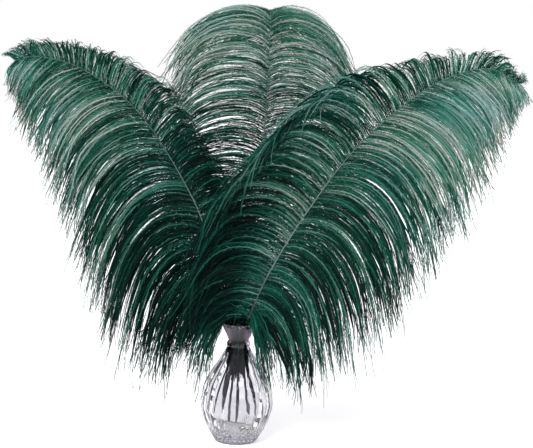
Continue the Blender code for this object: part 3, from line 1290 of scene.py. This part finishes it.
    def cut(self, mesh: bpy.types.Mesh) -> None:
        """Presses the flutes and the foot's diamonds into the outside, and ripples the inside.

        Args:
            mesh: the turned vase's mesh.
        """
        places = np.zeros(len(mesh.vertices) * 3)
        mesh.vertices.foreach_get("co", places)
        places = places.reshape(-1, 3)
        height = places[:, 2]
        radius = np.hypot(places[:, 0], places[:, 1])
        turn = np.arctan2(places[:, 1], places[:, 0]) / TURN
        outside = radius > self.wall_at(height, *self.body) - self.wall
        outside &= (height < self.flutes_to) & (height > self.foot_edge)
        share = np.clip((height - self.flutes_from) / (self.flutes_to - self.flutes_from), 0.0, 1.0)
        part = (turn * self.flutes) % 1.0
        scallop = self.flute_depth * np.sin(math.pi * share) ** 0.5 * 4 * part * (1 - part)
        across, rise = turn * self.diamonds, height / self.diamond_height
        lines = [np.abs((across + way * rise) % 1.0 - 0.5) for way in (1, -1)]
        facets = 2 * self.diamond_depth * (0.5 - np.minimum(*lines))
        low = (height > self.diamonds_from) & (height < self.diamonds_to)
        cut = scallop * (1.0 - self.fluted_diamonds * low) + np.where(low, facets, 0.0)
        wave = self.ripple
        for round_it, per_metre, phase in self.ripple_waves:
            wave = wave * np.sin(round_it * TURN * turn + per_metre * height + phase)
        inside = ~outside & (height > self.ripple_from) & (height < self.flutes_to)
        fresh = radius - np.where(outside, cut, 0.0) + np.where(inside, wave, 0.0)
        scale = np.divide(fresh, radius, out=np.ones_like(radius), where=radius > TINY)
        places[:, :2] *= scale[:, None]
        mesh.vertices.foreach_set("co", places.ravel())
        mesh.update()

    def build(self, glass: Material) -> None:
        """Builds the vase and ties it to the frame.

        Args:
            glass: its material.
        """
        made = self.turn_outline(self.outline())
        self.cut(made.data)
        made.data.shade_smooth()
        made.data.set_sharp_from_angle(angle=math.radians(self.sharp_from))
        settle(made, glass, "glass", "vase")


# ---------------------------------------------------------------- studio


class LampKind(Enum):
    """A lamp so far away that its light is even everywhere, or a near round one."""

    FAR = "SUN"
    NEAR = "AREA"


@dataclass(frozen=True)
class Lamp:
    """One soft lamp. Its breadth is in metres, or for a far one in degrees of the sky."""

    name: str
    kind: LampKind
    place: tuple
    aim: tuple
    breadth: float
    power: float
    mirrored: bool = False

    def build(self) -> None:
        """Hangs the lamp."""
        data = bpy.data.lights.new(self.name, self.kind.value)
        data.energy = self.power
        if self.kind is LampKind.FAR:
            data.angle = math.radians(self.breadth)
        else:
            data.shape, data.size = "DISK", self.breadth
        lamp = add_object(self.name, data)
        lamp.visible_glossy = lamp.visible_transmission = self.mirrored
        stand(lamp, self.place, self.aim)


@dataclass
class Studio:
    """The pale floor, the soft light and the camera."""

    camera_place: tuple = (0.024, -1.35, 0.345)
    camera_aim: tuple = (0.024, 0.0, 0.221)
    roll: float = 2.0
    focal_pixels: float = 1355.68
    frame_width: float = 533.0
    sensor: float = 36.0
    clip: tuple = (0.05, 200.0)
    floor_size: float = 60.0
    floor_height: float = -0.0002
    heights: tuple = (0.0, 0.2, 0.6, 1.0)
    sky: tuple = ((0.42, 0.41, 0.45), (0.40, 0.39, 0.43), (0.30, 0.29, 0.33), (0.5, 0.5, 0.53))
    sides: tuple = (0.0, 0.55, 0.78, 1.0)
    side_shades: tuple = (1.15, 1.0, 0.25, 0.25)
    lamps: tuple = (
        Lamp("key_lamp", LampKind.FAR, (-0.5, -0.8, 1.1), (0.0, 0.0, 0.0), 40.0, 2.6),
        Lamp("back_lamp", LampKind.FAR, (0.3, 0.8, 1.0), (0.0, 0.0, 0.0), 50.0, 1.1),
        Lamp("side_lamp", LampKind.NEAR, (1.5, -1.2, 0.9), (0.0, 0.0, 0.25), 0.6, 4.0, True),
        Lamp("front_lamp", LampKind.NEAR, (-0.5, -1.5, 1.3), (0.0, 0.0, 0.15), 0.5, 10.0),
    )

    def build(self) -> None:
        """Sets up the floor, the light and the camera."""
        self.build_camera()
        self.build_world()
        self.build_floor()
        for lamp in self.lamps:
            lamp.build()

    def build_camera(self) -> None:
        """Stands the camera where the picture was taken from."""
        data = bpy.data.cameras.new("camera")
        data.sensor_width = self.sensor
        data.lens = self.focal_pixels / self.frame_width * self.sensor
        data.clip_start, data.clip_end = self.clip
        camera = add_object("camera", data)
        stand(camera, self.camera_place, self.camera_aim, self.roll)
        bpy.context.scene.camera = camera

    def build_world(self) -> None:
        """Surrounds the scene with soft light, darker at its sides and white to the camera."""
        world = bpy.data.worlds.new("studio")
        bpy.context.scene.world = world
        world.use_nodes = True
        tree = world.node_tree
        way = {"Vector": add_node(tree, "TexCoord", {}, "Generated")}
        colour = ramp_node(tree, add_node(tree, "SeparateXYZ", way, "Z"), self.heights, self.sky)
        aside = {0: add_node(tree, "SeparateXYZ", way, "X")}
        aside = add_node(tree, "Math", aside, operation="ABSOLUTE")
        shade = ramp_node(tree, aside, self.sides, self.side_shades)
        colour = mix_node(tree, colour, shade)
        seen = add_node(tree, "LightPath", {}, "Is Camera Ray")
        colour = mix_node(tree, colour, PLAIN, seen, "MIX")
        feed(tree.nodes["Background"], {"Color": colour, "Strength": 1.0})
        bpy.context.scene.view_settings.view_transform = "Standard"

    def build_floor(self) -> None:
        """Lays the plain pale floor."""
        bpy.ops.object.select_all(action="DESELECT")
        place = (0.0, 0.0, self.floor_height)
        bpy.ops.mesh.primitive_plane_add(size=self.floor_size, location=place)
        floor = bpy.context.active_object
        floor.name = "floor"
        floor.data.materials.append(PaleFloor().build())


# ---------------------------------------------------------------- the three plumes


@dataclass
class LeftPlume(Plume):
    """The plume that leans to the left."""

    name: str = "left_plume"
    node: str = "feather_left"
    seed: int = 11
    side_fluff: Fluff = Fluff(
        125, (74.0, 116.0), (0.034, 0.096), (5.5, 11.0), (0.002, 0.020), (-50.0, 40.0)
    )
    route: tuple = (
        (0.022, -0.001, 0.022),
        (-0.0023, -0.001, 0.1),
        (-0.009, 0, 0.121),
        (-0.0275, 0.0045, 0.1824),
        (-0.0518, 0.0095, 0.2447),
        (-0.1065, 0.015, 0.3258),
        (-0.164, 0.017, 0.3679),
        (-0.208, 0.013, 0.3795),
        (-0.232, 0.0104, 0.375),
    )
    left: Vane = Vane(
        along=(0, 0.06, 0.13, 0.25, 0.42, 0.6, 0.85, 1),
        angle=(72, 76, 70, 54, 52, 51, 44, 36),
        length=(0.056, 0.098, 0.143, 0.176, 0.168, 0.137, 0.09, 0.024),
        sag=(4.4, 5, 4.2, 2.6, 2.3, 2, 2.3, 8),
        lean=(-0.05, -0.03, 0, 0, 0.05, 0.05, 0, 0.1),
        lift=(0.1, 0.15, 0.2, 0.2, 0.2, 0.2, 0.2, 0.1),
        lit=(0, 0.2, 0.45, 0.7, 1),
        root=(-0.3, -0.1, -0.06, 0.02, 0.1),
        middle=(-0.28, -0.1, 0.12, 0.56, 0.46),
        tip=(-0.1, -0.05, 0.08, 0.44, 0.36),
    )
    right: Vane = Vane(
        along=(0, 0.12, 0.25, 0.5, 0.62, 0.74, 0.86, 1),
        angle=(80, 84, 84, 76, 70, 68, 60, 48),
        length=(0.06, 0.096, 0.056, 0.046, 0.056, 0.05, 0.032, 0.016),
        sag=(3.2, 2.6, 2, 1.7, 1.8, 3.2, 4.5, 3),
        lean=(0, 0, 0, 0, -0.1, -0.3, -0.3, -0.1),
        lift=(0.1, 0.3, 0.2, 0.3, 0.3, 0.2, 0.1, 0),
        lit=(0, 0.3, 0.5, 0.7, 1),
        root=(-0.4, -0.2, -0.06, 0.08, 0.12),
        middle=(-0.5, -0.4, -0.12, 0.1, 0.16),
        tip=(-0.5, -0.45, -0.15, 0.08, 0.16),
    )


@dataclass
class CentrePlume(Plume):
    """The upright plume, whose tip bows to the back."""

    name: str = "centre_plume"
    node: str = "feather_centre"
    seed: int = 22
    route: tuple = (
        (-0.006, -0.008, 0.015),
        (-0.0025, 0.0046, 0.1),
        (-0.0016, 0.0074, 0.121),
        (0.0078, 0.02, 0.2023),
        (0.0177, 0.036, 0.2968),
        (0.0207, 0.054, 0.403),
        (0.0205, 0.068, 0.435),
        (0.0184, 0.097, 0.435),
        (0.0178, 0.11, 0.421),
    )
    left: Vane = Vane(
        along=(0, 0.3, 0.6, 0.85, 1),
        angle=(80, 80, 80, 78, 70),
        length=(0.1, 0.132, 0.143, 0.146, 0.1),
        sag=(1.3, 1.1, 1.1, 1.05, 0.9),
        lean=(0, 0, 0, 0, 0),
        lift=(0.65, 0.65, 0.65, 1.3, 0.8),
        lit=(0, 0.45, 0.72, 1),
        root=(-0.3, -0.22, 0.22, 0.24),
        middle=(-0.4, -0.2, 0.5, 0.48),
        tip=(-0.4, -0.16, 0.34, 0.36),
        style=VaneStyle(
            segments=12,
            pitch=0.00055,
            half_width=0.00038,
            core_width=1.3,
            down_length=0.0042,
            ragged=0.16,
        ),
    )
    right: Vane = replace(
        left,
        angle=(80, 80, 80, 78, 66),
        length=(0.1, 0.126, 0.156, 0.142, 0.074),
        sag=(1.3, 1.1, 1.25, 1.8, 2.3),
        lift=(0.65, 0.65, 0.65, 0.9, 0.8),
        style=replace(left.style, ragged=0.26),
    )


@dataclass
class RightPlume(Plume):
    """The plume that leans to the right, in front of the others."""

    name: str = "right_plume"
    node: str = "feather_right"
    seed: int = 33
    side_fluff: Fluff = Fluff(
        105, (90.0, 132.0), (0.028, 0.082), (7.0, 13.0), (0.002, 0.020), (140.0, 225.0)
    )
    route: tuple = (
        (-0.025, 0.004, 0.027),
        (-0.0002, -0.0054, 0.1),
        (0.007, -0.008, 0.121),
        (0.0285, -0.014, 0.1739),
        (0.0637, -0.026, 0.2372),
        (0.109, -0.039, 0.3022),
        (0.1715, -0.052, 0.36),
        (0.225, -0.058, 0.3812),
        (0.259, -0.06, 0.368),
    )
    left: Vane = Vane(
        along=(0, 0.12, 0.3, 0.6, 0.72, 0.8, 0.86, 1),
        angle=(108, 92, 80, 80, 80, 74, 60, 40),
        length=(0.06, 0.142, 0.19, 0.136, 0.08, 0.058, 0.034, 0.01),
        sag=(2.4, 2.4, 1.45, 1.6, 1.9, 2.8, 5, 4),
        lean=(0.05, 0, -0.05, 0.05, -0.7, -0.8, -0.3, -0.1),
        lift=(0.1, 0.2, 0.3, 0.3, 0.2, 0.1, 0.1, 0),
        lit=(0, 0.25, 0.42, 0.65, 1),
        root=(0.1, 0.2, 0.12, 0.06, 0.05),
        middle=(-0.4, -0.32, 0.12, 0.28, 0.16),
        tip=(-0.45, -0.45, -0.2, 0.12, 0.16),
        style=VaneStyle(
            pitch=0.00056,
            ragged=0.42,
            leans=Spread(0.0, 0.03, 0.05, -0.1, 0.1),
            angles=Spread(0.0, 2.0, 3.4),
            waves=Waves(0.0035, 2.0, (0.4, 1.1)),
            droop=0.6,
        ),
    )
    right: Vane = Vane(
        along=(0, 0.07, 0.15, 0.28, 0.44, 0.6, 0.85, 1),
        angle=(84, 76, 67, 57, 54, 52, 43, 24),
        length=(0.078, 0.108, 0.132, 0.158, 0.151, 0.146, 0.082, 0.022),
        sag=(5.8, 5.6, 4.4, 2.6, 2.2, 1.8, 2.1, 5),
        lean=(0.2, 0.2, 0.15, 0.1, 0.05, 0, 0, 0.1),
        lift=(0.1, 0.2, 0.2, 0.2, 0.2, 0.2, 0.2, 0.1),
        lit=(0, 0.25, 0.45, 0.7, 1),
        root=(-0.12, 0.02, 0.14, 0.3, 0.2),
        middle=(-0.16, -0.03, 0.24, 0.74, 0.52),
        tip=(-0.12, -0.1, 0.08, 0.54, 0.4),
        style=VaneStyle(leans=Spread(0.0, 0.03, 0.05, -0.1, 0.1)),
    )


def main() -> None:
    """Loads the frame, then builds the studio, the vase and the plumes."""
    logging.basicConfig(level=logging.INFO, format="%(message)s")
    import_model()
    Studio().build()
    vase = GlassVase()
    vase.build(PolishedGlass().build())
    barbs = DyedBarbs().build()
    horn = DyedShaft().build()
    for plume in (LeftPlume(), CentrePlume(), RightPlume()):
        plume.build(barbs, horn, vase)


if __name__ == "__main__":
    main()
